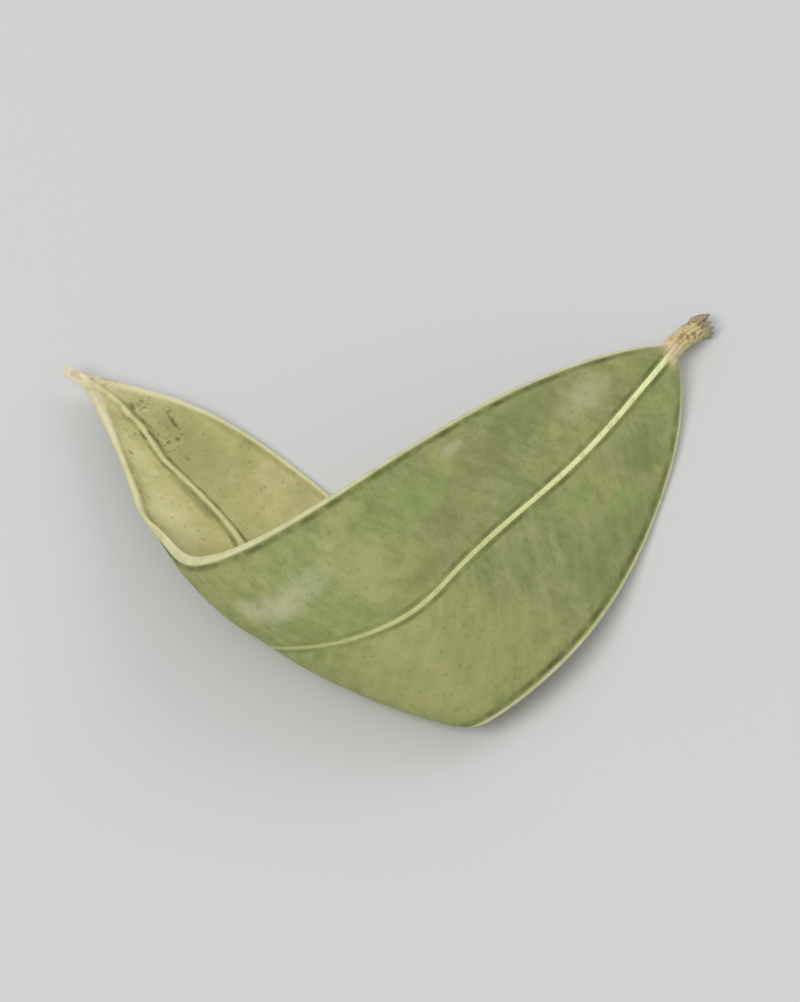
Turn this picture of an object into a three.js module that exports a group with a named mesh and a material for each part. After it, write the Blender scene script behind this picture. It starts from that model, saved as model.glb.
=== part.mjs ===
// One dried myrtle leaf, curled so that its tip half runs back behind its base half,
// in the pose in which it lies on a surface. Millimetres, +Z up, full size.
//
// The leaf is first thought of as flat: u runs along the midrib from the foot of the blade
// towards the tip, v across it, positive on the leaf's left half. It is then bent the way a
// sheet bends, along straight fold lines. Each fold line leaves the midrib at some distance
// s and has the slope du/dv given by foldSlope(s); where the curl is tight the lines fan out
// from beyond the left margin, so that the curl is narrow there and wide on the right.
import * as THREE from "three";

// The flat leaf.
const BLADE_LENGTH = 45;
const STALK_LENGTH = 2.5;
const POINT_LENGTH = 0.9;
const LEFT_HALF = { sign: 1, width: 6.14, footPower: 0.65, tipPower: 0.78 };
const RIGHT_HALF = { sign: -1, width: 5.91, footPower: 0.72, tipPower: 0.89 };
const STALK_HALF_WIDTH = 0.48;
const STALK_HALF_HEIGHT = 0.42;
const STALK_FLARE = 0.12;
const STALK_FLARE_LENGTH = 0.8;
const STALK_MERGE = 8;
const POINT_HALF_WIDTH = 0.2;
const POINT_TAPER = 0.08;
const POINT_MERGE = 3;

// Thickness of the blade, its margin and its midrib, which stands proud underneath.
const BLADE_THICKNESS = 0.34;
const MARGIN_THICKNESS = 0.42;
const MARGIN_WIDTH = 0.35;
const MARGIN_ROUNDING = 0.13;
const MOST_ROUNDING = 0.35;
const RIB_HEIGHT = 0.34;
const RIB_HEIGHT_LOST = 0.7;
const RIB_WIDTH_AT_FOOT = 0.34;
const RIB_WIDTH_AT_TIP = 0.12;
const FOOT_RUN = 3.2;

// Relief of the blade: a groove over the midrib, turned-down margins, a slow ripple, a barrel
// shape where it curls, high in the middle and drawn in towards both margins, and the right
// margin tucked in at the corner of the curl.
const GROOVE_DEPTH = 0.1;
const GROOVE_WIDTH = 0.8;
const TURN_DOWN = 0.16;
const TURN_DOWN_WIDTH = 0.7;
const RIPPLE = 0.1;
const RIPPLE_LENGTH = 11;
const RIPPLE_START_LEFT = 0.6;
const RIPPLE_START_RIGHT = 2.4;
const RELIEF_RUN = 4;
const BARREL_RISE = 0.5;
const BARREL_DROP = 1.17;
const TUCK_DEPTH = 0.5;
const TUCK_PLACE = 28.4;
const TUCK_RUN = 2.5;
const TUCK_POWER = 4;

// Curl, in radians per millimetre of midrib: nearly flat, then tight, then a slight turn back.
const FOOT_CURL = -0.003;
const MAIN_CURL = 0.215;
const TIP_CURL = -0.018;
const CURL_START = 17.55;
const CURL_END = 30.2;
const CURL_SOFTNESS = 5.4;

// Fold lines: their slope at either end of the fan, and how far off the midrib they meet.
const FOOT_FOLD_SLOPE = -0.14;
const TIP_FOLD_SLOPE = -1.365;
const FAN_START = 20.5;
const FAN_RADIUS = 7.77;
const FAN_SOFTNESS = 0.12;
const FAN_LENGTH = FAN_RADIUS * (FOOT_FOLD_SLOPE - TIP_FOLD_SLOPE);

// Sideways bend of the stalk, of the midrib within the blade, and of the hooked point.
const STALK_SWING = 0.17;
const FOOT_SWING = -0.006;
const TIP_SWING = -0.036;
const POINT_HOOK = -0.7;

// Direction in which the foot of the blade sets off, degrees: compass turn about +Z from +X,
// rise above level, and bank about the midrib.
const HEADING = -123.49;
const RISE = 9.71;
const BANK = -32.59;

// Fineness of the solid.
const RAIL_STEP = 0.1;
const RAIL_MARGIN = 14;
const ROW_STEP = 0.9;
const CURL_ROW_STEP = 0.36;
const END_ROW_STEP = 0.3;
const END_RUN = 3.6;
const CURL_RUN = 2;
const BISECTIONS = 44;
const REACH_LIMIT = 1.5;
const ROW_FRACTIONS = [0, 0.09, 0.22, 0.4, 0.6, 0.78, 0.9];

const LEAF_COLOUR = 0x949b68;
const LEAF_ROUGHNESS = 0.75;

const clamp01 = (x) => Math.min(Math.max(x, 0), 1);

// 0 to 1 with level ends while x goes from 0 to 1.
function soft(x) {
  const t = clamp01(x);
  return t * t * (3 - 2 * t);
}

const bump = (x) => Math.exp(-x * x);

const mix = (a, b, t) => a + (b - a) * t;

// The value at which holds() turns from true to false between low and high.
function boundary(low, high, holds) {
  let a = low;
  let b = high;
  for (let i = 0; i < BISECTIONS; i += 1) {
    const middle = (a + b) / 2;
    if (holds(middle)) a = middle;
    else b = middle;
  }
  return (a + b) / 2;
}

// 0 before a place on the midrib, 1 beyond it, with a soft change across it.
const past = (s, place) => soft((s - place) / CURL_SOFTNESS + 0.5);

function curl(s) {
  const main = (MAIN_CURL - FOOT_CURL) * past(s, CURL_START);
  return FOOT_CURL + main + (TIP_CURL - MAIN_CURL) * past(s, CURL_END);
}

// 0 before the fan, 1 after it, even in between, with rounded corners.
function fanShare(s) {
  const t = (s - FAN_START) / FAN_LENGTH;
  const climb = (x) => {
    if (x < -FAN_SOFTNESS) return 0;
    if (x < FAN_SOFTNESS) return (x + FAN_SOFTNESS) ** 2 / (4 * FAN_SOFTNESS);
    return x;
  };
  return climb(t) - climb(t - 1);
}

const foldSlope = (s) => mix(FOOT_FOLD_SLOPE, TIP_FOLD_SLOPE, fanShare(s));

function swing(s) {
  if (s < 0) return STALK_SWING;
  if (s > BLADE_LENGTH) return POINT_HOOK;
  return mix(FOOT_SWING, TIP_SWING, s / BLADE_LENGTH);
}

// Half-width of the flat leaf at u, stalk and point included.
function halfWidth(u, half) {
  const x = clamp01(u / BLADE_LENGTH);
  const widest = half.footPower / (half.footPower + half.tipPower);
  const blade =
    half.width *
    (x / widest) ** half.footPower *
    ((1 - x) / (1 - widest)) ** half.tipPower;
  const flare = STALK_FLARE * soft((STALK_FLARE_LENGTH - STALK_LENGTH - u) / STALK_FLARE_LENGTH);
  const stalk = (STALK_HALF_WIDTH + flare) * (1 - soft(u / STALK_MERGE));
  const taper = POINT_TAPER * soft((u - BLADE_LENGTH) / POINT_LENGTH);
  const point = (POINT_HALF_WIDTH - taper) * soft((u - BLADE_LENGTH + POINT_MERGE) / POINT_MERGE);
  return Math.hypot(blade, stalk + point);
}

// Heading, across and up vectors of the midrib at the foot of the blade.
function footFrame() {
  const heading = THREE.MathUtils.degToRad(HEADING);
  const rise = THREE.MathUtils.degToRad(RISE);
  const along = new THREE.Vector3(
    Math.cos(rise) * Math.cos(heading),
    Math.cos(rise) * Math.sin(heading),
    Math.sin(rise),
  );
  const level = new THREE.Vector3(-Math.sin(heading), Math.cos(heading), 0);
  const across = level.applyAxisAngle(along, THREE.MathUtils.degToRad(BANK));
  return { at: new THREE.Vector3(), along, across, up: along.clone().cross(across) };
}

// The frame one rail step on from a frame, forwards or backwards.
function nextFrame(frame, s, direction) {
  const within = s > 0 && s < BLADE_LENGTH;
  const bend = within ? curl(s) : 0;
  const turn = new THREE.Vector3()
    .addScaledVector(frame.along, bend * foldSlope(s))
    .addScaledVector(frame.across, bend)
    .addScaledVector(frame.up, swing(s));
  const angle = turn.length() * RAIL_STEP * direction;
  turn.normalize();
  const along = frame.along.clone().applyAxisAngle(turn, angle);
  const heading = frame.along.clone().add(along).normalize();
  return {
    at: frame.at.clone().addScaledVector(heading, RAIL_STEP * direction),
    along,
    across: frame.across.clone().applyAxisAngle(turn, angle),
    up: frame.up.clone().applyAxisAngle(turn, angle),
  };
}

// Frames along the midrib of the curled leaf, one for each rail step.
function layRail() {
  const back = Math.round(RAIL_MARGIN / RAIL_STEP);
  const onward = Math.round((BLADE_LENGTH + RAIL_MARGIN) / RAIL_STEP);
  const frames = [footFrame()];
  for (let i = 0; i < onward; i += 1)
    frames.push(nextFrame(frames[i], (i + 0.5) * RAIL_STEP, 1));
  for (let i = 0; i < back; i += 1)
    frames.unshift(nextFrame(frames[0], -(i + 0.5) * RAIL_STEP, -1));
  return { frames, start: -back * RAIL_STEP };
}

const rail = layRail();

function frameAt(s) {
  const place = (s - rail.start) / RAIL_STEP;
  const i = Math.min(Math.max(Math.floor(place), 0), rail.frames.length - 2);
  const [a, b] = [rail.frames[i], rail.frames[i + 1]];
  const between = (key) => a[key].clone().lerp(b[key], place - i);
  return {
    at: between("at"),
    along: between("along"),
    across: between("across"),
    up: between("up"),
  };
}

// Where the point (u, v) of the flat leaf lies once curled, raised off the sheet by lift.
function curled(u, v, lift) {
  const s = boundary(u - RAIL_MARGIN, u + RAIL_MARGIN, (m) => m + v * foldSlope(m) < u);
  const frame = frameAt(s);
  return frame.at
    .addScaledVector(frame.across, v)
    .addScaledVector(frame.along, v * foldSlope(s))
    .addScaledVector(frame.up, lift);
}

// Rows of the solid follow the fold lines, and swing square to the midrib at both ends.
function rowSlope(s) {
  const fanEnd = FAN_START + FAN_LENGTH;
  const towardsTip = soft((s - fanEnd) / (BLADE_LENGTH - fanEnd));
  return foldSlope(s) * (1 - towardsTip) * soft(s / RELIEF_RUN);
}

// Distance from the midrib, along the row at s, at which the row meets the margin.
function reach(s, half) {
  const slope = rowSlope(s);
  const inside = (v) => v < halfWidth(s + half.sign * v * slope, half);
  return boundary(0, half.width * REACH_LIMIT, inside);
}

// Height of the middle of the blade over the plain curled sheet, on the row at s.
function relief(s, { u, v, width }) {
  const start = v > 0 ? RIPPLE_START_LEFT : RIPPLE_START_RIGHT;
  const ripple =
    RIPPLE * Math.sin((2 * Math.PI * u) / RIPPLE_LENGTH + start) * (v / width) ** 2;
  const groove = -GROOVE_DEPTH * bump(v / GROOVE_WIDTH);
  const turned = (Math.abs(v) - width + TURN_DOWN_WIDTH) / TURN_DOWN_WIDTH;
  const fade = soft(u / RELIEF_RUN) * soft((BLADE_LENGTH - u) / RELIEF_RUN);
  const inCurl = past(s, CURL_START) - past(s, CURL_END);
  const barrel = BARREL_RISE - BARREL_DROP * (v / width) ** 2;
  const tuck = v < 0 ? bump((s - TUCK_PLACE) / TUCK_RUN) * (v / width) ** TUCK_POWER : 0;
  const slight = fade * (ripple + groove - TURN_DOWN * soft(turned));
  return slight + inCurl * barrel - TUCK_DEPTH * tuck;
}

// Distances of the upper and lower faces from the middle of the blade.
function halfThicknesses({ u, v, width }) {
  const x = clamp01(u / BLADE_LENGTH);
  const asBlade = soft(u / FOOT_RUN);
  const round = STALK_HALF_HEIGHT * Math.sqrt(Math.max(1 - (v / width) ** 2, 0));
  const edge = bump((width - Math.abs(v)) / MARGIN_WIDTH);
  const plain = mix(BLADE_THICKNESS, MARGIN_THICKNESS, edge) / 2;
  const ribWidth = mix(RIB_WIDTH_AT_FOOT, RIB_WIDTH_AT_TIP, x);
  const rib = RIB_HEIGHT * (1 - RIB_HEIGHT_LOST * x) * bump(v / ribWidth);
  return { over: mix(round, plain, asBlade), under: mix(round, plain + rib, asBlade) };
}

// Flat points of one half of the row at s, from the midrib out to the margin.
function halfRow(s, half) {
  const width = reach(s, half);
  const rounding = Math.min(MARGIN_ROUNDING, MOST_ROUNDING * width);
  const distances = ROW_FRACTIONS.map((f) => f * (width - rounding));
  distances.push(width - rounding, width);
  return distances.map((d) => {
    const v = half.sign * d;
    return { u: s + v * rowSlope(s), v, width, onMargin: d === width };
  });
}

// One closed ring of points round the leaf: over the upper face, back along the lower one.
function ring(s) {
  const right = halfRow(s, RIGHT_HALF).slice(1).reverse();
  const left = halfRow(s, LEFT_HALF);
  const over = [];
  const under = [];
  for (const point of [...right, ...left]) {
    const { u, v, onMargin } = point;
    const middle = relief(s, point);
    const thickness = halfThicknesses(point);
    over.push(curled(u, v, onMargin ? middle : middle + thickness.over));
    if (!onMargin) under.push(curled(u, v, middle - thickness.under));
  }
  return [...over, ...under.reverse()];
}

// Midrib distances of the rows: close together in the curl and at both ends.
function rowPlaces() {
  const end = BLADE_LENGTH + POINT_LENGTH;
  const places = [];
  let s = -STALK_LENGTH;
  while (s < end - END_ROW_STEP / 2) {
    places.push(s);
    const inCurl = s > CURL_START - CURL_RUN && s < CURL_END + CURL_RUN;
    const nearEnd = s < END_RUN || s > BLADE_LENGTH - END_RUN;
    if (nearEnd) s += END_ROW_STEP;
    else s += inCurl ? CURL_ROW_STEP : ROW_STEP;
  }
  places.push(end);
  return places;
}

function centreOf(points) {
  const sum = new THREE.Vector3();
  for (const point of points) sum.add(point);
  return sum.divideScalar(points.length);
}

// The closed skin over a run of rings, its ends closed by fans.
function skin(rings) {
  const size = rings[0].length;
  const points = [...rings.flat(), centreOf(rings[0]), centreOf(rings.at(-1))];
  const firstHub = points.length - 2;
  const lastHub = points.length - 1;
  const lastStart = (rings.length - 1) * size;
  const faces = [];
  for (let j = 0; j < size; j += 1) {
    const k = (j + 1) % size;
    for (let start = 0; start < lastStart; start += size)
      faces.push(start + j, start + size + j, start + k, start + k, start + size + j, start + size + k);
    faces.push(firstHub, j, k, lastHub, lastStart + k, lastStart + j);
  }
  const geometry = new THREE.BufferGeometry().setFromPoints(points);
  geometry.setIndex(faces);
  return geometry;
}

// Moves a geometry so that the middle of its footprint is the origin and it stands on z = 0.
function standOnOrigin(geometry) {
  geometry.computeBoundingBox();
  const box = geometry.boundingBox;
  const centre = box.getCenter(new THREE.Vector3());
  geometry.translate(-centre.x, -centre.y, -box.min.z);
  geometry.computeVertexNormals();
  return geometry;
}

const leaf = new THREE.Mesh(
  standOnOrigin(skin(rowPlaces().map(ring))),
  new THREE.MeshStandardMaterial({ color: LEAF_COLOUR, roughness: LEAF_ROUGHNESS, metalness: 0 }),
);
leaf.name = "leaf";

const group = new THREE.Group();
group.name = "myrtle_leaf";
group.add(leaf);

export default group;
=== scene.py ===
"""Looks of one dried myrtle leaf, curled so that its tip half runs back behind its base half.

The leaf is thought of as flat first: u runs along the midrib from the foot of the blade to the
tip, v across it, positive on the leaf's left half. It is then bent along straight fold lines,
as a sheet bends. The midrib wanders off the line v = 0, so the groove over it, the veins, the
thickness and the colour go by a point's "off" instead of its v: 0 on the midrib, the same as v
at the margin. Lengths are millimetres until the mesh is made; Blender gets metres.
"""
import math

import bpy
import numpy as np
from mathutils import Matrix, Vector


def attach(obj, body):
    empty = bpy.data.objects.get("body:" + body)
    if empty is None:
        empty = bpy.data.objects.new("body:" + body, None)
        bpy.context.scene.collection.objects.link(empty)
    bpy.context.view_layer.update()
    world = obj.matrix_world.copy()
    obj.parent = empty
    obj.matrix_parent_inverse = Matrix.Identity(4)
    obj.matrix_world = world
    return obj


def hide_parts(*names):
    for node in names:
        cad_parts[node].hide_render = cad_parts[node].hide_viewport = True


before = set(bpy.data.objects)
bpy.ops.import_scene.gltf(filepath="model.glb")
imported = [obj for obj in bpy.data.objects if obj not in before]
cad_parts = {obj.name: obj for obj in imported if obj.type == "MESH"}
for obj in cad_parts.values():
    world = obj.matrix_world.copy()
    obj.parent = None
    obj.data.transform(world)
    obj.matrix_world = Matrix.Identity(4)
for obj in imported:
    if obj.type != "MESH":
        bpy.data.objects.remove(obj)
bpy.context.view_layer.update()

MM = 0.001
SEED = 7

# The flat leaf.
BLADE_LENGTH = 45.0
STALK_LENGTH = 2.5
POINT_LENGTH = 0.9
LEFT = {"sign": 1.0, "width": 6.14, "foot_power": 0.65, "tip_power": 0.78}
RIGHT = {"sign": -1.0, "width": 5.91, "foot_power": 0.72, "tip_power": 0.89}
STALK_HALF_WIDTH = 0.48
STALK_HALF_HEIGHT = 0.42
STALK_FLARE = 0.12
STALK_FLARE_LENGTH = 0.8
STALK_MERGE = 8.0
POINT_HALF_WIDTH = 0.2
POINT_TAPER = 0.08
POINT_MERGE = 3.0

# Where the midrib wanders: place along it, shift to the left, and how far the bend reaches.
RIB_BENDS = (
    {"s": 14.0, "shift": -0.36, "run": 5.0},
    {"s": 20.2, "shift": 0.25, "run": 2.0},
    {"s": 25.8, "shift": -0.8, "run": 2.6},
    {"s": 33.4, "shift": 0.22, "run": 2.0},
    {"s": 38.5, "shift": -0.62, "run": 3.0},
)

# The stalk's ridges and its torn end, and how both ends of the leaf are closed.
STALK_RIDGE = 0.09
STALK_RIDGE_SPACING = 0.21
STALK_RIDGE_END = 1.3
FRAY_DEPTH = 0.3
FRAY_RUN = 0.7
FRAY_FIRST_WAVE = 2
FRAY_WAVES = 11
TEAR_FIRST_WAVE = 6
TEAR_WAVES = 8
STALK_HOLLOW = 0.16
STALK_ROUGHNESS = 0.03
STALK_DEPTH_ROWS = 12
POINT_DOME = 0.04
END_SHARES = (0.93, 0.8, 0.62, 0.42, 0.22, 0.06)

# Thickness of the blade, its margin and its midrib.
BLADE_THICKNESS = 0.34
MARGIN_THICKNESS = 0.42
MARGIN_WIDTH = 0.24
MARGIN_ROUNDING = 0.13
MOST_ROUNDING = 0.35
RIB_HEIGHT = 0.34
RIB_HEIGHT_LOST = 0.7
RIB_WIDTH_AT_FOOT = 0.34
RIB_WIDTH_AT_TIP = 0.12
UPPER_RIB_HEIGHT = 0.08
UPPER_RIB_NARROWING = 0.6
FOOT_RUN = 3.2

# Relief: groove over the midrib, turned-down margins, slow ripple, a barrel shape where the
# blade curls, right margin tucked in at the corner of the curl, then veins, creases and the
# puckers of the shrunken tip.
GROOVE_DEPTH = 0.1
GROOVE_WIDTH = 0.8
TURN_DOWN = 0.16
TURN_DOWN_WIDTH = 0.7
RIPPLE = 0.1
RIPPLE_LENGTH = 11.0
RIPPLE_START_LEFT = 0.6
RIPPLE_START_RIGHT = 2.4
RELIEF_RUN = 4.0
BARREL_RISE = 0.5
BARREL_DROP = 1.17
TUCK_DEPTH = 0.5
TUCK_PLACE = 28.4
TUCK_RUN = 2.5
TUCK_POWER = 4
VEIN_SPACING = 1.15
VEIN_LEAN = 0.62
VEIN_SWEEP = 0.05
VEIN_HALF_WIDTH = 0.14
VEIN_SUNK = 0.012
VEIN_PROUD = 0.024
LOOP_VEIN_PLACE = 0.84
LOOP_VEIN_SOFTNESS = 0.08
VEIN_STAGGER = 0.43
VEIN_WANDER = 0.16
VEIN_WANDER_LENGTH = 5.3
VEIN_WANDER_LEAN = 0.3
CREASE_HEIGHT = 0.02
CREASE_WAVES = 22
CREASE_SHORTEST = 0.9
CREASE_LONGEST = 4.5
CREASE_ANGLE = 0.9
CREASE_ANGLE_SPREAD = 0.55
PUCKERS = (
    {"u": 41.9, "v": -0.35, "size": 0.42, "depth": 0.16},
    {"u": 40.7, "v": 0.3, "size": 0.5, "depth": -0.14},
    {"u": 40.3, "v": 1.5, "size": 0.55, "depth": 0.14},
    {"u": 38.6, "v": -0.5, "size": 0.6, "depth": 0.1},
)

# Curl, in radians per millimetre of midrib.
FOOT_CURL = -0.003
MAIN_CURL = 0.215
TIP_CURL = -0.018
CURL_START = 17.55
CURL_END = 30.2
CURL_SOFTNESS = 5.4

# Fold lines: slope du/dv at either end of the fan, and how far off the midrib they meet.
FOOT_FOLD_SLOPE = -0.14
TIP_FOLD_SLOPE = -1.365
FAN_START = 20.5
FAN_RADIUS = 7.77
FAN_SOFTNESS = 0.12
FAN_LENGTH = FAN_RADIUS * (FOOT_FOLD_SLOPE - TIP_FOLD_SLOPE)

# Sideways bend of the stalk, of the midrib within the blade, and of the hooked point.
STALK_SWING = 0.17
FOOT_SWING = -0.006
TIP_SWING = -0.036
POINT_HOOK = -0.7

# Direction in which the foot of the blade sets off, and its bank about it, degrees.
HEADING = -123.49
RISE = 9.71
BANK = -32.59

# Fineness of the mesh.
RAIL_STEP = 0.1
RAIL_MARGIN = 14.0
ROW_STEP = 0.16
CURL_ROW_STEP = 0.1
END_ROW_STEP = 0.08
END_RUN = 3.0
CURL_RUN = 2.0
BISECTIONS = 44
REACH_LIMIT = 1.5
COLUMNS = 40
ROUND_COLUMNS = 4

# Camera: where it looks from, its tilt about its own axis, and how much it takes in.
CAMERA_RISE = 56.5
CAMERA_ROLL = -4.3
CAMERA_DISTANCE = 420.0
VIEW_WIDTH = 35.0
VIEW_CENTRE_HEIGHT = 3.5
SENSOR_WIDTH = 36.0
NEAREST_SEEN = 10.0
FARTHEST_SEEN = 20000.0

# Studio: lamps and floor.
KEY_LAMP = {"name": "key", "place": (-350.0, -350.0, 720.0), "size": 500.0, "watts": 3.5}
FILL_LAMP = {"name": "fill", "place": (550.0, 400.0, 600.0), "size": 600.0, "watts": 1.3}
SKY_TONE = (235, 237, 240)
SKY_STRENGTH = 0.6
FLOOR_REACH = 4000.0
FLOOR_TONE = (214, 214, 212)
FLOOR_ROUGHNESS = 0.9

# Below, a tone is a colour as a display shows it, 0 to 255, and a share is how much of it is
# laid over what is there. A pair is where a value starts to count and where it counts in full.
# A noise is its cells per millimetre, its detail and its roughness, with such a pair where it
# is used as a pattern.

# Ground colour of both faces: main tone, patches, blotches, fibres.
UPPER_TONES = ((138, 147, 84), (157, 156, 95), (104, 121, 58), (182, 184, 122))
LOWER_TONES = ((184, 179, 112), (196, 188, 126), (152, 150, 84), (216, 208, 152))
SIDE_CHANGE = (0.35, 0.65)
PATCHES = {"per_mm": 0.2, "detail": 3.0, "roughness": 0.5, "pair": (0.38, 0.62)}
BLOTCHES = {"per_mm": 0.75, "detail": 5.0, "roughness": 0.62, "pair": (0.4, 0.66)}
BLOTCH_SHARE = 0.42
FLECKS = {"per_mm": 1.7, "detail": 5.0, "roughness": 0.72}
DARK_FLECKS = (0.48, 0.62)
DARK_FLECK_SHARE = 0.22
PALE_FLECKS = (0.5, 0.36)
PALE_FLECK_SHARE = 0.2
FIBRES = {"per_mm": 1.9, "detail": 6.0, "roughness": 0.7, "pair": (0.36, 0.7)}
FIBRE_SHARE = 0.26
FIBRE_STRETCH = 0.2

# Veins, the net between them, and the oil glands.
VEIN_TONE = (198, 200, 148)
VEIN_SHARE = 0.05
NET_PER_MM = 1.7
NET_LINE = (0.12, 0.0)
NET_SHARE = 0.05
NET_WARP = 0.55
WARP_ALONG = {"per_mm": 1.1, "detail": 3.0, "roughness": 0.5}
WARP_ACROSS = {"per_mm": 1.4, "detail": 3.0, "roughness": 0.5}
GLANDS_PER_MM = 2.2
GLAND_DOT = (0.24, 0.12)
GLAND_TONE = (112, 122, 62)
GLAND_SHARE = 0.3

# Discoloured places and painted sheen: ragged ovals of a length and width about a middle.
# Pale tone of the painted sheen on the upper face where the blade curls round; one pale streak
# nearer the foot uses it too.
PAINTED_SHEEN = (200, 197, 162)
BROWNED = (132, 127, 72)
BEIGE = (187, 188, 140)
GREENER = (126, 156, 82)
YELLOWED = (172, 170, 106)
DEEPER = (114, 126, 66)
PALER = (214, 208, 152)
OLIVE = (154, 152, 90)
DARK = (74, 76, 32)
MARK_EDGE = {"per_mm": 0.9, "detail": 5.0, "roughness": 0.7}
MARK_PAIR = (1.8, 0.3)
SPECK_EDGE = {"per_mm": 5.0, "detail": 5.0, "roughness": 0.7}
SPECK_PAIR = (1.8, 0.8)
MARK_RAGGEDNESS = 1.5
UPPER_MARKS = (
    {"u": 20.0, "off": 3.0, "length": 4.6, "width": 3.4, "tone": YELLOWED, "share": 0.6},
    {"u": 22.6, "off": 1.4, "length": 1.8, "width": 1.5, "tone": YELLOWED, "share": 0.6},
    {"u": 5.4, "off": 1.9, "length": 1.9, "width": 1.3, "tone": DEEPER, "share": 0.7},
    {"u": 9.5, "off": 4.0, "length": 7.0, "width": 1.6, "tone": DEEPER, "share": 0.55},
    {"u": 8.0, "off": -3.4, "length": 5.0, "width": 1.4, "tone": DEEPER, "share": 0.45},
    {"u": 20.6, "off": -2.7, "length": 2.2, "width": 1.8, "tone": YELLOWED, "share": 0.3},
    # Painted sheen where the blade curls round.
    {"u": 25.6, "off": -2.5, "length": 2.6, "width": 1.0, "tone": PAINTED_SHEEN, "share": 0.68},
    {"u": 23.6, "off": -3.2, "length": 1.8, "width": 0.7, "tone": PAINTED_SHEEN, "share": 0.36},
    {"u": 12.4, "off": -2.9, "length": 2.8, "width": 1.2, "tone": BROWNED, "share": 0.65},
    {"u": 16.0, "off": -1.9, "length": 2.6, "width": 1.1, "tone": BROWNED, "share": 0.65},
    {"u": 18.8, "off": -0.9, "length": 1.8, "width": 0.6, "tone": BROWNED, "share": 0.7},
    {"u": 5.2, "off": -1.7, "length": 2.2, "width": 1.0, "tone": BEIGE, "share": 0.8},
    {"u": 13.2, "off": -4.3, "length": 1.2, "width": 0.35, "tone": PAINTED_SHEEN, "share": 0.5},
    {"u": 16.4, "off": -3.5, "length": 2.4, "width": 1.1, "tone": GREENER, "share": 0.65},
    {"u": 7.6, "off": 2.7, "length": 1.3, "width": 0.7, "tone": GREENER, "share": 0.7},
    {"u": 9.4, "off": 1.2, "length": 1.2, "width": 0.6, "tone": GREENER, "share": 0.6},
)
LOWER_MARKS = (
    {"u": 35.6, "off": -2.2, "length": 3.0, "width": 1.3, "tone": PALER, "share": 0.9},
    {"u": 39.8, "off": -1.5, "length": 3.4, "width": 1.1, "tone": PALER, "share": 0.85},
    {"u": 38.8, "off": 1.3, "length": 4.0, "width": 1.7, "tone": OLIVE, "share": 0.75},
    {"u": 36.0, "off": -0.45, "length": 2.4, "width": 0.34, "tone": BROWNED, "share": 0.85},
)
LOWER_SPECKS = (
    {"u": 42.2, "off": 0.4, "length": 0.3, "width": 0.15, "tone": DARK, "share": 0.7},
    {"u": 41.2, "off": 0.1, "length": 0.5, "width": 0.1, "tone": DARK, "share": 0.65},
    {"u": 40.4, "off": -0.2, "length": 0.4, "width": 0.1, "tone": DARK, "share": 0.65},
    {"u": 40.5, "off": 1.45, "length": 0.6, "width": 0.12, "tone": DARK, "share": 0.65},
    {"u": 39.8, "off": -1.5, "length": 0.2, "width": 0.14, "tone": DARK, "share": 0.4},
    {"u": 38.4, "off": 0.9, "length": 0.25, "width": 0.1, "tone": DARK, "share": 0.35},
    {"u": 41.8, "off": 0.8, "length": 0.35, "width": 0.18, "tone": PALER, "share": 0.6},
)
SPECKLED = {"u": 40.8, "off": 0.5, "length": 2.1, "width": 1.5}
SPECKLED_PAIR = (1.2, 0.3)
SPECKLES = {"per_mm": 2.6, "detail": 5.0, "roughness": 0.7, "pair": (0.55, 0.63)}
SPECKLE_SHARE = 0.7

# The pale line of the midrib and the thin dark line of painted shade along each side of it.
RIB_LINE_HALF_WIDTH = 0.155
RIB_LINE_NARROWING = 0.08
RIB_LINE_LOWER_WIDENING = 0.06
RIB_LINE_UNEVENNESS = 0.5
RIB_LINE_CORE = 0.55
RIB_FADING = (26.0, 16.0)
RIB_FADING_SHARE = 0.5
RIB_LASTING_SHARE = 0.45
RIB_LOWER_SHARE = 0.85
RIB_FOOT_TONE = (248, 250, 184)
RIB_END_TONE = (210, 208, 140)
RIB_TONE_CHANGE = (2.0, 24.0)
RIB_LOWER_TONE = (216, 210, 152)
RIB_GRAIN = {"per_mm": 2.4, "detail": 4.0, "roughness": 0.65}
RIB_GRAIN_PAIR = (0.48, 0.66)
RIB_GRAIN_TONE = (170, 172, 104)
RIB_GRAIN_SHARE = 0.45
RIB_SHADE_TONE = (96, 104, 50)
RIB_SHADE_PLACE = 0.1
RIB_SHADE = (0.16, 0.02)
RIB_SHADE_BREAKS = {"per_mm": 0.9, "detail": 4.0, "roughness": 0.6, "pair": (0.24, 0.72)}

# The pale line of the margin, a painted highlight on its rolled edge, and the thin dark line of
# painted shade inside it.
EDGE_LINE_WIDTH = 0.22
EDGE_LINE_WIDENING = 0.3
EDGE_LOWER_WIDENING = 0.05
EDGE_LINE_CORE = 0.5
# Pale tones of the painted highlight on the margin's rolled edge.
EDGE_HIGHLIGHT_TONE = (226, 222, 172)
EDGE_TIP_HIGHLIGHT_TONE = (240, 230, 192)
EDGE_TIP_CHANGE = (38.5, 44.0)
EDGE_NOISE = {"per_mm": 1.3, "detail": 3.0, "roughness": 0.5}
EDGE_NOISE_SHARE = 0.8
EDGE_LEAST_SHARE = 0.4
EDGE_SHADE_TONE = (88, 92, 42)
EDGE_SHADE_OUTWARDS = (0.18, 0.28)
EDGE_SHADE_INWARDS = (0.56, 0.34)
EDGE_SHADE_AT_FOOT = (0.5, 3.0)
EDGE_SHADE_AT_TIP = (42.0, 38.0)
EDGE_SHADE_BREAKS = {"per_mm": 0.9, "detail": 4.0, "roughness": 0.6, "pair": (0.22, 0.74)}
EDGE_SHADE_LOWER_SHARE = 0.4
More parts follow.
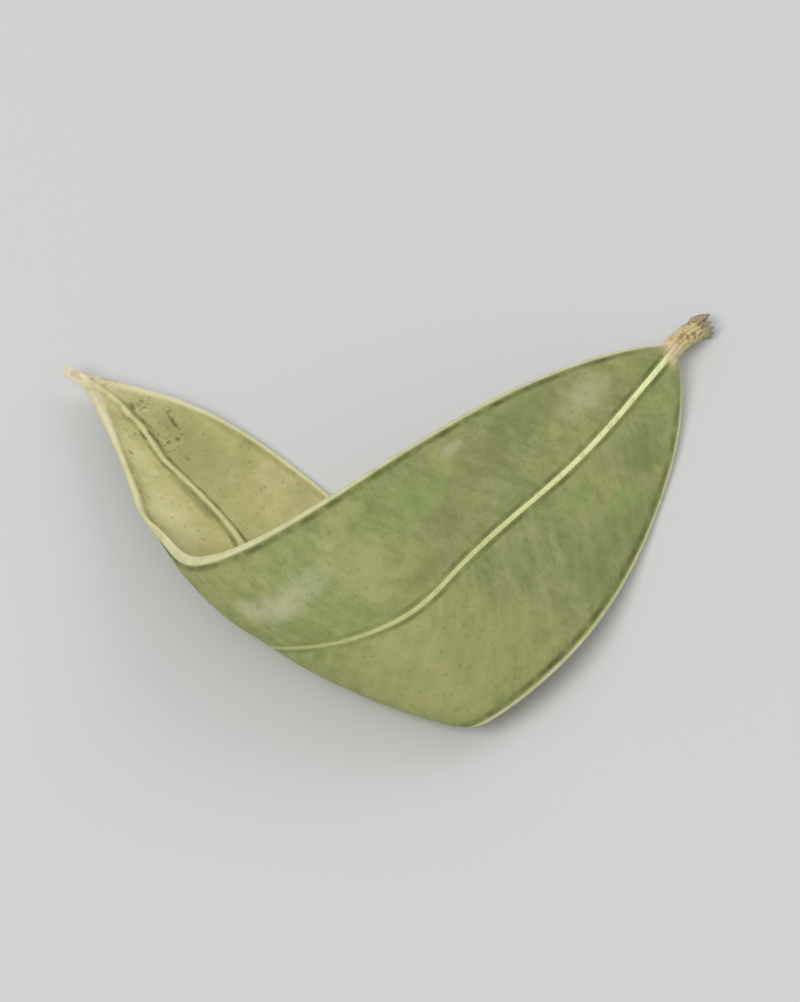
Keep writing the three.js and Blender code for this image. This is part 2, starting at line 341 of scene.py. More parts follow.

# Stalk and tip; the cream of the tip and the point is partly painted highlight.
STALK_TONE = (212, 198, 142)
STALK_SPECK_TONE = (158, 112, 68)
STALK_SPECKS = {"per_mm": 2.6, "detail": 5.0, "roughness": 0.7, "pair": (0.5, 0.6)}
STALK_SPECK_SHARE = 0.85
STALK_END_TONE = (152, 138, 116)
STALK_END = (-1.6, -2.6)
STALK_BORDER = (2.4, 0.9)
STALK_BORDER_NOISE = {"per_mm": 1.1, "detail": 3.0, "roughness": 0.5}
STALK_BORDER_WANDER = 2.2
COLLAR_TONE = (228, 206, 170)
COLLAR_PLACE = 0.2
COLLAR_REACH = (0.8, 0.2)
COLLAR_SHARE = 0.75
# Cream of the tip and the point, made as pale as their highlights: partly their own colour,
# partly painted highlight.
TIP_TONE = (220, 212, 162)
TIP_CHANGE = (41.8, 44.5)
TIP_SPECK_TONE = (184, 158, 114)
TIP_SPECK_SHARE = 0.5
POINT_CREAM_AND_HIGHLIGHT = (238, 225, 192)
POINT_CHANGE = (44.0, 45.4)

# Fine dents and gloss.
GRAIN = {"per_mm": 6.0, "detail": 4.0, "roughness": 0.7}
THREADS = {"per_mm": 2.6, "detail": 6.0, "roughness": 0.7}
GRAIN_DENTS = 0.6
THREAD_DENTS = 0.9
NET_DENTS = 0.3
DENT_DEPTH = 0.02
LEAST_ROUGHNESS = 0.42
GRAIN_ROUGHNESS = 0.3
SPECULAR = 0.35

rng = np.random.default_rng(SEED)


def soft(x):
    """0 to 1 with level ends while x goes from 0 to 1."""
    t = np.clip(x, 0.0, 1.0)
    return t * t * (3.0 - 2.0 * t)


def bump(x):
    return np.exp(-x * x)


def mix(a, b, t):
    return a + (b - a) * t


def past(s, place):
    """0 before a place on the midrib, 1 beyond it, with a soft change across it."""
    return soft((s - place) / CURL_SOFTNESS + 0.5)


def curl(s):
    main = (MAIN_CURL - FOOT_CURL) * past(s, CURL_START)
    return FOOT_CURL + main + (TIP_CURL - MAIN_CURL) * past(s, CURL_END)


def climb(x):
    """0, then x, with a rounded corner at 0."""
    rounded = (x + FAN_SOFTNESS) ** 2 / (4.0 * FAN_SOFTNESS)
    return np.where(x < -FAN_SOFTNESS, 0.0, np.where(x < FAN_SOFTNESS, rounded, x))


def fold_slope(s):
    t = (s - FAN_START) / FAN_LENGTH
    return mix(FOOT_FOLD_SLOPE, TIP_FOLD_SLOPE, climb(t) - climb(t - 1.0))


def swing(s):
    if s < 0.0:
        return STALK_SWING
    return POINT_HOOK if s > BLADE_LENGTH else mix(FOOT_SWING, TIP_SWING, s / BLADE_LENGTH)


def half_width(u, half):
    """Half-width of the flat leaf at u, stalk and point included."""
    x = np.clip(u / BLADE_LENGTH, 0.0, 1.0)
    widest = half["foot_power"] / (half["foot_power"] + half["tip_power"])
    foot = (x / widest) ** half["foot_power"]
    tip = ((1.0 - x) / (1.0 - widest)) ** half["tip_power"]
    flare = STALK_FLARE * soft((STALK_FLARE_LENGTH - STALK_LENGTH - u) / STALK_FLARE_LENGTH)
    stalk = (STALK_HALF_WIDTH + flare) * (1.0 - soft(u / STALK_MERGE))
    taper = POINT_TAPER * soft((u - BLADE_LENGTH) / POINT_LENGTH)
    point = (POINT_HALF_WIDTH - taper) * soft((u - BLADE_LENGTH + POINT_MERGE) / POINT_MERGE)
    return np.hypot(half["width"] * foot * tip, stalk + point)


def turned(vectors, axis, angle):
    """Rows of vectors turned about a unit axis."""
    return np.array([Matrix.Rotation(angle, 3, Vector(axis)) @ Vector(v) for v in vectors])


def foot_frame():
    """Along, across and up vectors of the midrib at the foot of the blade."""
    heading, rise, bank = (math.radians(a) for a in (HEADING, RISE, BANK))
    along = np.array(
        [
            math.cos(rise) * math.cos(heading),
            math.cos(rise) * math.sin(heading),
            math.sin(rise),
        ]
    )
    level = np.array([-math.sin(heading), math.cos(heading), 0.0])
    across = turned([level], along, bank)[0]
    return np.array([along, across, np.cross(along, across)])


def rail_step(place, axes, s, direction):
    """The midrib point and frame one rail step on."""
    bend = float(curl(s)) if 0.0 < s < BLADE_LENGTH else 0.0
    turn = bend * float(fold_slope(s)) * axes[0] + bend * axes[1] + swing(s) * axes[2]
    size = np.linalg.norm(turn)
    moved = axes if size == 0.0 else turned(axes, turn / size, size * RAIL_STEP * direction)
    way = axes[0] + moved[0]
    return place + RAIL_STEP * direction * way / np.linalg.norm(way), moved


def lay_rail():
    """Midrib points and frames of the curled leaf, one for each rail step."""
    back = round(RAIL_MARGIN / RAIL_STEP)
    onward = round((BLADE_LENGTH + RAIL_MARGIN) / RAIL_STEP)
    ahead = [(np.zeros(3), foot_frame())]
    behind = [ahead[0]]
    for i in range(onward):
        ahead.append(rail_step(*ahead[-1], (i + 0.5) * RAIL_STEP, 1.0))
    for i in range(back):
        behind.append(rail_step(*behind[-1], -(i + 0.5) * RAIL_STEP, -1.0))
    rail = behind[:0:-1] + ahead
    return np.array([p for p, _ in rail]), np.array([f for _, f in rail])


RAIL_PLACES, RAIL_FRAMES = lay_rail()


def boundary(low, high, holds):
    """The value at which holds turns from true to false, element by element."""
    for _ in range(BISECTIONS):
        middle = (low + high) / 2.0
        yes = holds(middle)
        low = np.where(yes, middle, low)
        high = np.where(yes, high, middle)
    return (low + high) / 2.0


def curled(u, v, lift):
    """Where points (u, v) of the flat leaf lie once curled, raised off the sheet by lift."""
    s = boundary(u - RAIL_MARGIN, u + RAIL_MARGIN, lambda m: m + v * fold_slope(m) < u)
    place = (s + RAIL_MARGIN) / RAIL_STEP
    i = np.clip(np.floor(place).astype(int), 0, len(RAIL_PLACES) - 2)
    t = (place - i)[..., None]
    point = mix(RAIL_PLACES[i], RAIL_PLACES[i + 1], t)
    axes = mix(RAIL_FRAMES[i], RAIL_FRAMES[i + 1], t[..., None])
    sideways = axes[..., 1, :] + fold_slope(s)[..., None] * axes[..., 0, :]
    return point + v[..., None] * sideways + lift[..., None] * axes[..., 2, :]


def row_slope(s):
    """Rows follow the fold lines, and swing square to the midrib at both ends."""
    fan_end = FAN_START + FAN_LENGTH
    towards_tip = soft((s - fan_end) / (BLADE_LENGTH - fan_end))
    return fold_slope(s) * (1.0 - towards_tip) * soft(s / RELIEF_RUN)


def reach(s, half):
    """Distance from the line v = 0 at which the row at s meets the margin."""
    slope = row_slope(s)
    inside = lambda v: v < half_width(s + half["sign"] * v * slope, half)
    return boundary(np.zeros_like(s), np.full_like(s, half["width"] * REACH_LIMIT), inside)


def creases(u, v):
    """Fine unevenness of a dried blade, between about -1 and 1: many weak crossed waves."""
    total = np.zeros_like(u)
    for start, angle, length in zip(
        rng.uniform(0.0, 2.0 * math.pi, CREASE_WAVES),
        rng.normal(CREASE_ANGLE, CREASE_ANGLE_SPREAD, CREASE_WAVES),
        np.geomspace(CREASE_SHORTEST, CREASE_LONGEST, CREASE_WAVES),
    ):
        across = u * math.cos(angle) + np.abs(v) * math.sin(angle)
        total += np.sin(2.0 * math.pi * across / length + start) * length / CREASE_LONGEST
    return total / math.sqrt(CREASE_WAVES)


def rib_shift(s):
    """How far the midrib wanders off the line v = 0."""
    return sum(bend["shift"] * bump((s - bend["s"]) / bend["run"]) for bend in RIB_BENDS)


def side_veins(u, off, width):
    """1 on a side vein or on the vein that loops along inside the margin, 0 between them."""
    share = np.abs(off) / width
    lean = VEIN_WANDER_LEAN * u
    wander = VEIN_WANDER * np.sin(2.0 * math.pi * (off + lean) / VEIN_WANDER_LENGTH)
    phase = (u - VEIN_LEAN * np.abs(off) - VEIN_SWEEP * off * off) / VEIN_SPACING + wander
    phase = phase + (off > 0.0) * VEIN_STAGGER
    aside = (phase - np.round(phase)) * VEIN_SPACING
    vein = bump(aside / VEIN_HALF_WIDTH) * soft((LOOP_VEIN_PLACE - share) / LOOP_VEIN_SOFTNESS)
    loop = bump((share - LOOP_VEIN_PLACE) * width / VEIN_HALF_WIDTH)
    inside = soft(u / RELIEF_RUN) * soft((BLADE_LENGTH - u) / RELIEF_RUN)
    return np.maximum(vein, loop) * inside


def puckers(u, v):
    return sum(
        pucker["depth"] * bump(np.hypot(u - pucker["u"], v - pucker["v"]) / pucker["size"])
        for pucker in PUCKERS
    )


def relief(s, u, v, off, width):
    """Height of the middle of the blade over the plain curled sheet, on the rows at s."""
    start = np.where(v > 0.0, RIPPLE_START_LEFT, RIPPLE_START_RIGHT)
    share = v / width
    ripple = RIPPLE * np.sin(2.0 * math.pi * u / RIPPLE_LENGTH + start) * share**2
    groove = -GROOVE_DEPTH * bump(off / GROOVE_WIDTH)
    turn = TURN_DOWN * soft((np.abs(v) - width + TURN_DOWN_WIDTH) / TURN_DOWN_WIDTH)
    crease = CREASE_HEIGHT * creases(u, v)
    fade = soft(u / RELIEF_RUN) * soft((BLADE_LENGTH - u) / RELIEF_RUN)
    in_curl = past(s, CURL_START) - past(s, CURL_END)
    barrel = in_curl * (BARREL_RISE - BARREL_DROP * share**2)
    tuck = TUCK_DEPTH * bump((s - TUCK_PLACE) / TUCK_RUN) * np.minimum(share, 0.0) ** TUCK_POWER
    return fade * (ripple + groove - turn + crease) + barrel - tuck + puckers(u, v)


def half_thicknesses(u, off, width, veins):
    """Distances of the upper and lower faces from the middle of the blade."""
    x = np.clip(u / BLADE_LENGTH, 0.0, 1.0)
    ridge = np.cos(2.0 * math.pi * off / STALK_RIDGE_SPACING) * (1.0 - soft(u / STALK_RIDGE_END))
    ridges = 1.0 + STALK_RIDGE * ridge
    rounded = STALK_HALF_HEIGHT * ridges * np.sqrt(np.maximum(1.0 - (off / width) ** 2, 0.0))
    edge = bump((width - np.abs(off)) / MARGIN_WIDTH)
    plain = mix(BLADE_THICKNESS, MARGIN_THICKNESS, edge) / 2.0
    rib_width = mix(RIB_WIDTH_AT_FOOT, RIB_WIDTH_AT_TIP, x)
    rib = bump(off / rib_width) * (1.0 - RIB_HEIGHT_LOST * x)
    upper_rib = bump(off / (rib_width * UPPER_RIB_NARROWING)) * (1.0 - RIB_HEIGHT_LOST * x)
    over = plain + UPPER_RIB_HEIGHT * upper_rib - VEIN_SUNK * veins
    under = plain + RIB_HEIGHT * rib + VEIN_PROUD * veins
    as_blade = soft(u / FOOT_RUN)
    return mix(rounded, over, as_blade), mix(rounded, under, as_blade)


def row_places():
    """Midrib distances of the rows: close together in the curl and at both ends."""
    end = BLADE_LENGTH + POINT_LENGTH
    places = []
    s = -STALK_LENGTH
    while s < end - END_ROW_STEP / 2.0:
        places.append(s)
        near_end = s < END_RUN or s > BLADE_LENGTH - END_RUN
        in_curl = CURL_START - CURL_RUN < s < CURL_END + CURL_RUN
        s += END_ROW_STEP if near_end else CURL_ROW_STEP if in_curl else ROW_STEP
    return np.array(places + [end])


def half_grid(s, half):
    """Flat points of one half from the midrib out: u, v, off, and the reach of their row."""
    width = reach(s, half)
    rounding = np.minimum(MARGIN_ROUNDING, MOST_ROUNDING * width)
    flat_part = np.linspace(0.0, 1.0, COLUMNS)[None, :] * (width - rounding)[:, None]
    corner = np.sin(np.linspace(0.0, math.pi / 2.0, ROUND_COLUMNS + 1)[1:])
    round_part = (width - rounding)[:, None] + corner[None, :] * rounding[:, None]
    distance = np.concatenate([flat_part, round_part], axis=1)
    width = np.repeat(width[:, None], distance.shape[1], axis=1)
    off = half["sign"] * distance
    v = off + rib_shift(s)[:, None] * (1.0 - distance / width)
    u = s[:, None] + v * row_slope(s)[:, None]
    return u, v, off, width


def rounding_share(off, width):
    """1 over the flat of the blade, falling to 0 as a quarter circle at the very margin."""
    rounding = np.minimum(MARGIN_ROUNDING, MOST_ROUNDING * width)
    t = np.clip((np.abs(off) - width + rounding) / rounding, 0.0, 1.0)
    return np.sqrt(np.maximum(1.0 - t * t, 0.0))


def waves_round(angle, first, count):
    """Random waves that repeat first, first + 1 and so on times round, about -1 to 1 in all."""
    starts = rng.uniform(0.0, 2.0 * math.pi, count)
    waves = [np.sin((first + i) * angle + start) for i, start in enumerate(starts)]
    return sum(waves) / math.sqrt(count)


def frayed(u, angle):
    """u with the torn end of the stalk drawn out here and cut back there."""
    tear = FRAY_DEPTH * waves_round(angle, FRAY_FIRST_WAVE, FRAY_WAVES)
    return u - tear[None, :] * soft((FRAY_RUN - STALK_LENGTH - u) / FRAY_RUN)


def leaf_rings():
    """Angles round the stalk's end, rings of points round the leaf, what its looks go by."""
    s = row_places()
    right = [a[:, :0:-1] for a in half_grid(s, RIGHT)]
    left = half_grid(s, LEFT)
    u, v, off, width = (np.concatenate(pair, axis=1) for pair in zip(right, left))
    veins = side_veins(u, off, width)
    middle = relief(s[:, None], u, v, off, width)
    over, under = half_thicknesses(u, off, width, veins)
    share = rounding_share(off, width)
    back = slice(-2, 0, -1)
    wrap = lambda top, bottom: np.concatenate([top, bottom[:, back]], axis=1)
    height = wrap(over * share, -under * share)
    flat_u, flat_v = wrap(u, u), wrap(v, v)
    facing = wrap(0.5 - 0.5 * share, 0.5 + 0.5 * share)
    off, width, veins = wrap(off, off), wrap(width, width), wrap(veins, veins)
    angle = np.arctan2(height[0] / STALK_HALF_HEIGHT, off[0] / width[0])
    rings = curled(frayed(flat_u, angle), flat_v, wrap(middle, middle) + height)
    return angle, rings, flat_u, off, width, height, facing, veins


def end_rings(ring, inside, angle, depth, roughness):
    """Rings that run from an end ring in to its middle, hollowed by depth towards inside."""
    middle = ring.mean(axis=0)
    inwards = inside.mean(axis=0) - middle
    inwards = inwards / np.linalg.norm(inwards)
    made = []
    for share in END_SHARES:
        torn = roughness * waves_round(angle, TEAR_FIRST_WAVE, TEAR_WAVES) + depth * (1.0 - share)
        made.append(middle + (ring - middle) * share + torn[:, None] * inwards)
    return np.array(made)


def close_ends(angle, rings, others):
    """The grids of the leaf with rings added that close the stalk and the point."""
    stalk = end_rings(rings[0], rings[STALK_DEPTH_ROWS], angle, STALK_HOLLOW, STALK_ROUGHNESS)
    point = end_rings(rings[-1], rings[-2], angle, -POINT_DOME, 0.0)
    closed = np.concatenate([stalk[::-1], rings, point])
    extra = len(END_SHARES)
    grow = lambda a: np.concatenate([np.repeat(a[:1], extra, 0), a, np.repeat(a[-1:], extra, 0)])
    return closed, *(grow(a) for a in others)


def leaf_mesh():
    angle, rings, *others = leaf_rings()
    rings, u, off, width, height, facing, veins = close_ends(angle, rings, others)
    rows, size = u.shape
    points = rings.reshape(-1, 3)
    low, high = points.min(axis=0), points.max(axis=0)
    points = points - np.array([(low[0] + high[0]) / 2.0, (low[1] + high[1]) / 2.0, low[2]])
    i = np.arange(rows - 1)[:, None] * size
    j = np.arange(size)[None, :]
    k = (j + 1) % size
    quads = np.stack([i + j, i + size + j, i + size + k, i + k], axis=-1).reshape(-1, 4)
    last = (rows - 1) * size
    caps = [list(range(size)), [last + n for n in reversed(range(size))]]
    mesh = bpy.data.meshes.new("leaf")
    mesh.from_pydata((points * MM).tolist(), [], quads.tolist() + caps)
    mesh.validate()
    maps = {
        "flat": np.stack([u, off], axis=-1),
        "across": np.stack([height, width - np.abs(off)], axis=-1),
        "facing": np.stack([facing, veins], axis=-1),
    }
    corners = np.empty(len(mesh.loops), dtype=np.int32)
    mesh.loops.foreach_get("vertex_index", corners)
    for name, values in maps.items():
        layer = mesh.uv_layers.new(name=name)
        layer.data.foreach_set("uv", values.reshape(-1, 2)[corners].astype(np.float32).ravel())
    mesh.shade_smooth()
    return mesh


def linear(shown):
    """A colour as displayed, 0 to 255, as the linear colour that Blender takes."""
    parts = []
    for value in shown:
        c = value / 255.0
        parts.append(c / 12.92 if c <= 0.04045 else ((c + 0.055) / 1.055) ** 2.4)
    return (*parts, 1.0)


class Nodes:
    """Short ways to build a material's node tree."""

    def __init__(self, name):
        self.material = bpy.data.materials.new(name)
        self.material.use_nodes = True
        self.tree = self.material.node_tree
        self.tree.nodes.clear()
        self.output = self.tree.nodes.new("ShaderNodeOutputMaterial")

    def add(self, kind, **settings):
        node = self.tree.nodes.new(kind)
        for key, value in settings.items():
            setattr(node, key, value)
        return node

    def feed(self, socket, value):
        if isinstance(value, bpy.types.NodeSocket):
            self.tree.links.new(value, socket)
        else:
            socket.default_value = value

    def math(self, operation, a, b=0.0, c=0.0):
        node = self.add("ShaderNodeMath", operation=operation)
        for socket, value in zip(node.inputs, (a, b, c)):
            self.feed(socket, value)
        return node.outputs[0]

    def blend(self, share, a, b):
        """Colour a with a share of colour b laid over it."""
        node = self.add("ShaderNodeMix", data_type="RGBA")
        self.feed(node.inputs["Factor"], share)
        self.feed(node.inputs[6], a)
        self.feed(node.inputs[7], b)
        return node.outputs[2]

    def number(self, share, a, b):
        """The number between a and b at a share of the way."""
        node = self.add("ShaderNodeMix", data_type="FLOAT")
        for socket, value in zip(node.inputs, (share, None, a, b)):
            if value is not None:
                self.feed(socket, value)
        return node.outputs[0]

    def between(self, value, low, high):
        """0 at low, 1 at high, smooth between; low may be above high."""
        node = self.add("ShaderNodeMapRange", interpolation_type="SMOOTHSTEP")
        for socket, part in zip(node.inputs, (value, low, high, 0.0, 1.0)):
            self.feed(socket, part)
        return node.outputs[0]

    def chain(self, operation, parts):
        out, *rest = parts
        for part in rest:
            out = self.math(operation, out, part)
        return out

    def times(self, *parts):
        return self.chain("MULTIPLY", parts)

    def total(self, *parts):
        return self.chain("ADD", parts)

    def scaled(self, value, factor, base):
        """The value times the factor, plus the base."""
        return self.math("MULTIPLY_ADD", value, factor, base)

    def away(self, value, middle):
        """How far a value is from the middle, either way."""
        return self.math("ABSOLUTE", self.math("SUBTRACT", value, middle))

    def layer(self, name):
        """The two values that a UV map holds."""
        split = self.add("ShaderNodeSeparateXYZ")
        self.feed(split.inputs[0], self.add("ShaderNodeUVMap", uv_map=name).outputs[0])
        return split.outputs[0], split.outputs[1]

    def place(self, x, y, z):
        node = self.add("ShaderNodeCombineXYZ")
        for socket, value in zip(node.inputs, (x, y, z)):
            self.feed(socket, value)
        return node.outputs[0]

    def noise(self, where, noise):
        node = self.add("ShaderNodeTexNoise")
        self.feed(node.inputs["Vector"], where)
        self.feed(node.inputs["Scale"], noise["per_mm"])
        self.feed(node.inputs["Detail"], noise["detail"])
        self.feed(node.inputs["Roughness"], noise["roughness"])
        return node.outputs[0]

    def pattern(self, where, noise):
        """0 to 1, as the noise goes from one end of its pair to the other."""
        return self.between(self.noise(where, noise), *noise["pair"])

    def cells(self, where, scale, feature):
        """Distance to the middle (F1) or the border (DISTANCE_TO_EDGE) of irregular cells."""
        node = self.add("ShaderNodeTexVoronoi", feature=feature)
        self.feed(node.inputs["Vector"], where)
        self.feed(node.inputs["Scale"], scale)
        return node.outputs["Distance"]

    def finish(self, colour, roughness, height=None, depth=0.0):
        """Closes the tree with one surface; height dents it by up to depth."""
        surface = self.add("ShaderNodeBsdfPrincipled")
        self.feed(surface.inputs["Base Color"], colour)
        self.feed(surface.inputs["Roughness"], roughness)
        self.feed(surface.inputs["Specular IOR Level"], SPECULAR)
        if height is not None:
            dent = self.add("ShaderNodeBump")
            self.feed(dent.inputs["Distance"], depth)
            self.feed(dent.inputs["Height"], height)
            self.feed(surface.inputs["Normal"], dent.outputs[0])
        self.feed(self.output.inputs["Surface"], surface.outputs[0])
        return self.material


def mottled(n, where, skewed, tones):
    """Colour of one face: patches, blotches, flecks, and fibres that run with the side veins."""
    main, patch, blotch, fibre = (linear(tone) for tone in tones)
    colour = n.blend(n.pattern(where, PATCHES), main, patch)
    colour = n.blend(n.times(n.pattern(where, BLOTCHES), BLOTCH_SHARE), colour, blotch)
    flecks = n.noise(where, FLECKS)
    dark = n.times(n.between(flecks, *DARK_FLECKS), DARK_FLECK_SHARE)
    pale = n.times(n.between(flecks, *PALE_FLECKS), PALE_FLECK_SHARE)
    colour = n.blend(pale, n.blend(dark, colour, blotch), fibre)
    return n.blend(n.times(n.pattern(skewed, FIBRES), FIBRE_SHARE), colour, fibre)


def oval(n, u, off, mark):
    """0 in the middle of a mark, 1 on the oval of its length and width."""
    along = n.math("DIVIDE", n.math("SUBTRACT", u, mark["u"]), mark["length"])
    across = n.math("DIVIDE", n.math("SUBTRACT", off, mark["off"]), mark["width"])
    return n.total(n.times(along, along), n.times(across, across))


def add_marks(n, colour, u, off, where, marks, edge, pair):
    """Discoloured places, each a ragged oval."""
    ragged = n.times(n.noise(where, edge), MARK_RAGGEDNESS)
    for mark in marks:
        away = n.total(oval(n, u, off, mark), ragged)
        share = n.times(n.between(away, *pair), mark["share"])
        colour = n.blend(share, colour, linear(mark["tone"]))
    return colour


def add_speckles(n, colour, u, off, where):
    """Small dark specks of no particular shape where the shrunken tip is puckered."""
    zone = n.between(oval(n, u, off, SPECKLED), *SPECKLED_PAIR)
    share = n.times(zone, n.pattern(where, SPECKLES), SPECKLE_SHARE)
    return n.blend(share, colour, linear(DARK))


def upper_colour(n, u, off, where, skewed):
    colour = mottled(n, where, skewed, UPPER_TONES)
    return add_marks(n, colour, u, off, where, UPPER_MARKS, MARK_EDGE, MARK_PAIR)


def lower_colour(n, u, off, where, skewed):
    colour = mottled(n, where, skewed, LOWER_TONES)
    colour = add_marks(n, colour, u, off, where, LOWER_MARKS, MARK_EDGE, MARK_PAIR)
    colour = add_marks(n, colour, u, off, where, LOWER_SPECKS, SPECK_EDGE, SPECK_PAIR)
    return add_speckles(n, colour, u, off, where)


def vein_net(n, u, off, where, height):
    """1 on the fine net of veins, 0 in its meshes."""
    along = n.scaled(n.noise(where, WARP_ALONG), NET_WARP, u)
    across = n.scaled(n.noise(where, WARP_ACROSS), NET_WARP, off)
    meshes = n.cells(n.place(along, across, height), NET_PER_MM, "DISTANCE_TO_EDGE")
    return n.between(meshes, *NET_LINE)


def add_midrib(n, colour, u, off, where, side):
    """A pale line, fading round the curl on the upper face, and a thin dark line of painted shade
    beside it.
    """
    along = n.math("DIVIDE", u, BLADE_LENGTH)
    grain = n.noise(where, RIB_GRAIN)
    uneven = n.scaled(grain, RIB_LINE_UNEVENNESS, 1.0 - RIB_LINE_UNEVENNESS / 2.0)
    half = n.scaled(along, -RIB_LINE_NARROWING, RIB_LINE_HALF_WIDTH)
    half = n.times(n.scaled(side, RIB_LINE_LOWER_WIDENING, half), uneven)
    aside = n.math("ABSOLUTE", off)
    line = n.between(aside, half, n.times(half, RIB_LINE_CORE))
    fading = n.scaled(n.between(u, *RIB_FADING), RIB_FADING_SHARE, RIB_LASTING_SHARE)
    strength = n.number(side, fading, RIB_LOWER_SHARE)

    # Painted shade: a thin dark line along each side of the raised midrib.
    beside = n.between(n.away(aside, n.total(half, RIB_SHADE_PLACE)), *RIB_SHADE)
    shade = n.times(beside, n.pattern(where, RIB_SHADE_BREAKS), strength)
    colour = n.blend(shade, colour, linear(RIB_SHADE_TONE))
    tone = n.blend(n.between(u, *RIB_TONE_CHANGE), linear(RIB_FOOT_TONE), linear(RIB_END_TONE))
    tone = n.blend(side, tone, linear(RIB_LOWER_TONE))
    grain_share = n.times(n.between(grain, *RIB_GRAIN_PAIR), RIB_GRAIN_SHARE)
    tone = n.blend(grain_share, tone, linear(RIB_GRAIN_TONE))
    return n.blend(n.times(line, strength), colour, tone)


def add_margin(n, colour, u, inset, where, side):
    """A painted highlight as a pale line on the very edge, broad and creamy near the tip, and a
    dark line of painted shade inside it.
    """
    near_tip = n.between(u, *EDGE_TIP_CHANGE)
    uneven = n.scaled(n.noise(where, EDGE_NOISE), EDGE_NOISE_SHARE, EDGE_LEAST_SHARE)
    strength = n.math("MAXIMUM", n.math("MINIMUM", uneven, 1.0), near_tip)
    widening = n.times(near_tip, EDGE_LINE_WIDENING)
    width = n.total(widening, n.times(side, EDGE_LOWER_WIDENING), EDGE_LINE_WIDTH)
    line = n.between(inset, width, n.times(width, EDGE_LINE_CORE))

    # Painted shade: a thin dark line just inside the edge.
    shade = n.times(
        n.between(inset, *EDGE_SHADE_INWARDS),
        n.between(inset, *EDGE_SHADE_OUTWARDS),
        n.pattern(where, EDGE_SHADE_BREAKS),
        n.between(u, *EDGE_SHADE_AT_TIP),
        n.between(u, *EDGE_SHADE_AT_FOOT),
        n.number(side, 1.0, EDGE_SHADE_LOWER_SHARE),
    )
    colour = n.blend(shade, colour, linear(EDGE_SHADE_TONE))
    # Painted highlight along the very edge, creamier near the tip.
    tone = n.blend(near_tip, linear(EDGE_HIGHLIGHT_TONE), linear(EDGE_TIP_HIGHLIGHT_TONE))
    return n.blend(n.times(line, strength), colour, tone)


def add_ends(n, colour, u, where):
    """Straw stalk, specked brown, with a grey torn end and a pale collar; cream tip and point,
    partly painted highlight.
    """
    specks = n.pattern(where, STALK_SPECKS)
    speck_share = n.times(specks, STALK_SPECK_SHARE)
    stalk = n.blend(speck_share, linear(STALK_TONE), linear(STALK_SPECK_TONE))
    stalk = n.blend(n.between(u, *STALK_END), stalk, linear(STALK_END_TONE))
    collar = n.times(n.between(n.away(u, COLLAR_PLACE), *COLLAR_REACH), COLLAR_SHARE)
    stalk = n.blend(collar, stalk, linear(COLLAR_TONE))
    border = n.scaled(n.noise(where, STALK_BORDER_NOISE), STALK_BORDER_WANDER, u)
    colour = n.blend(n.between(border, *STALK_BORDER), colour, stalk)
    tip = n.blend(n.between(u, *POINT_CHANGE), linear(TIP_TONE), linear(POINT_CREAM_AND_HIGHLIGHT))
    tip = n.blend(n.times(specks, TIP_SPECK_SHARE), tip, linear(TIP_SPECK_TONE))
    return n.blend(n.between(u, *TIP_CHANGE), colour, tip)


def leaf_material():
    n = Nodes("leaf")
    u, off = n.layer("flat")
    height, inset = n.layer("across")
    facing, veins = n.layer("facing")
    side = n.between(facing, *SIDE_CHANGE)
    where = n.place(u, off, height)
    skewed_u = n.scaled(n.math("ABSOLUTE", off), -VEIN_LEAN, u)
    skewed = n.place(skewed_u, n.times(off, FIBRE_STRETCH), height)
    net = vein_net(n, u, off, where, height)
    glands = n.between(n.cells(where, GLANDS_PER_MM, "F1"), *GLAND_DOT)

    upper = upper_colour(n, u, off, where, skewed)
    lower = lower_colour(n, u, off, where, skewed)
    colour = n.blend(side, upper, lower)
    colour = n.blend(n.times(net, NET_SHARE), colour, linear(VEIN_TONE))
    colour = n.blend(n.times(glands, GLAND_SHARE), colour, linear(GLAND_TONE))
    colour = n.blend(n.times(veins, VEIN_SHARE), colour, linear(VEIN_TONE))
    colour = add_midrib(n, colour, u, off, where, side)
    colour = add_margin(n, colour, u, inset, where, side)
    colour = add_ends(n, colour, u, where)

    grain = n.noise(where, GRAIN)
    threads = n.noise(skewed, THREADS)
    dents = n.total(
        n.times(grain, GRAIN_DENTS), n.times(threads, THREAD_DENTS), n.times(net, NET_DENTS)
    )
    roughness = n.scaled(grain, GRAIN_ROUGHNESS, LEAST_ROUGHNESS)
    return n.finish(colour, roughness, dents, DENT_DEPTH * MM)


def add_object(name, mesh, material):
    made = bpy.data.objects.new(name, mesh)
    made.data.materials.append(material)
    bpy.context.scene.collection.objects.link(made)
    return made


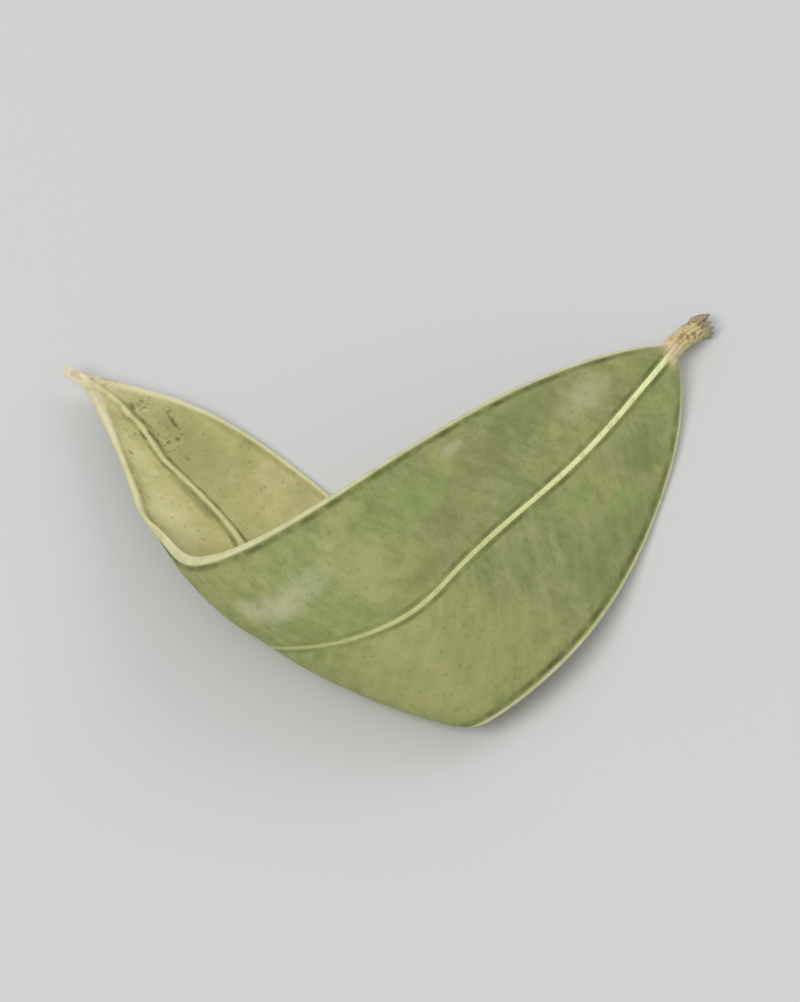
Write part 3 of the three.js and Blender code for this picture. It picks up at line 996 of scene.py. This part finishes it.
def add_floor():
    reach = FLOOR_REACH * MM
    corners = [(x * reach, y * reach, 0.0) for x, y in ((-1, -1), (1, -1), (1, 1), (-1, 1))]
    mesh = bpy.data.meshes.new("floor")
    mesh.from_pydata(corners, [], [(0, 1, 2, 3)])
    material = Nodes("floor").finish(linear(FLOOR_TONE), FLOOR_ROUGHNESS)
    floor = add_object("floor", mesh, material)


def aim(item, place, target, roll=0.0):
    """Puts an item at a place, looking along its -Z at a target."""
    way = (Vector(target) - Vector(place)).normalized()
    turn = way.to_track_quat("-Z", "Y").to_matrix().to_4x4()
    item.matrix_world = Matrix.Translation(place) @ turn @ Matrix.Rotation(roll, 4, "Z")


def add_lamp(name, place, size, watts):
    lamp = bpy.data.lights.new(name, "AREA")
    lamp.shape = "DISK"
    lamp.size = size * MM
    lamp.energy = watts
    item = bpy.data.objects.new(name, lamp)
    bpy.context.scene.collection.objects.link(item)
    aim(item, [part * MM for part in place], (0.0, 0.0, 0.0))


def add_lights():
    add_lamp(**KEY_LAMP)
    add_lamp(**FILL_LAMP)
    world = bpy.data.worlds.new("studio")
    world.use_nodes = True
    sky = world.node_tree.nodes["Background"]
    sky.inputs["Color"].default_value = linear(SKY_TONE)
    sky.inputs["Strength"].default_value = SKY_STRENGTH
    bpy.context.scene.world = world


def add_camera(target):
    rise = math.radians(CAMERA_RISE)
    away = Vector((0.0, -math.cos(rise), math.sin(rise))) * CAMERA_DISTANCE * MM
    lens = bpy.data.cameras.new("camera")
    lens.sensor_fit = "HORIZONTAL"
    lens.sensor_width = SENSOR_WIDTH
    lens.lens = SENSOR_WIDTH * CAMERA_DISTANCE / VIEW_WIDTH
    lens.clip_start = NEAREST_SEEN * MM
    lens.clip_end = FARTHEST_SEEN * MM
    item = bpy.data.objects.new("camera", lens)
    bpy.context.scene.collection.objects.link(item)
    aim(item, target + away, target, math.radians(CAMERA_ROLL))
    bpy.context.scene.camera = item


leaf = add_object("leaf_skin", leaf_mesh(), leaf_material())
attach(leaf, "root")
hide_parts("leaf")

add_floor()
add_lights()
add_camera(Vector((0.0, 0.0, VIEW_CENTRE_HEIGHT * MM)))
bpy.context.scene.view_settings.view_transform = "Standard"

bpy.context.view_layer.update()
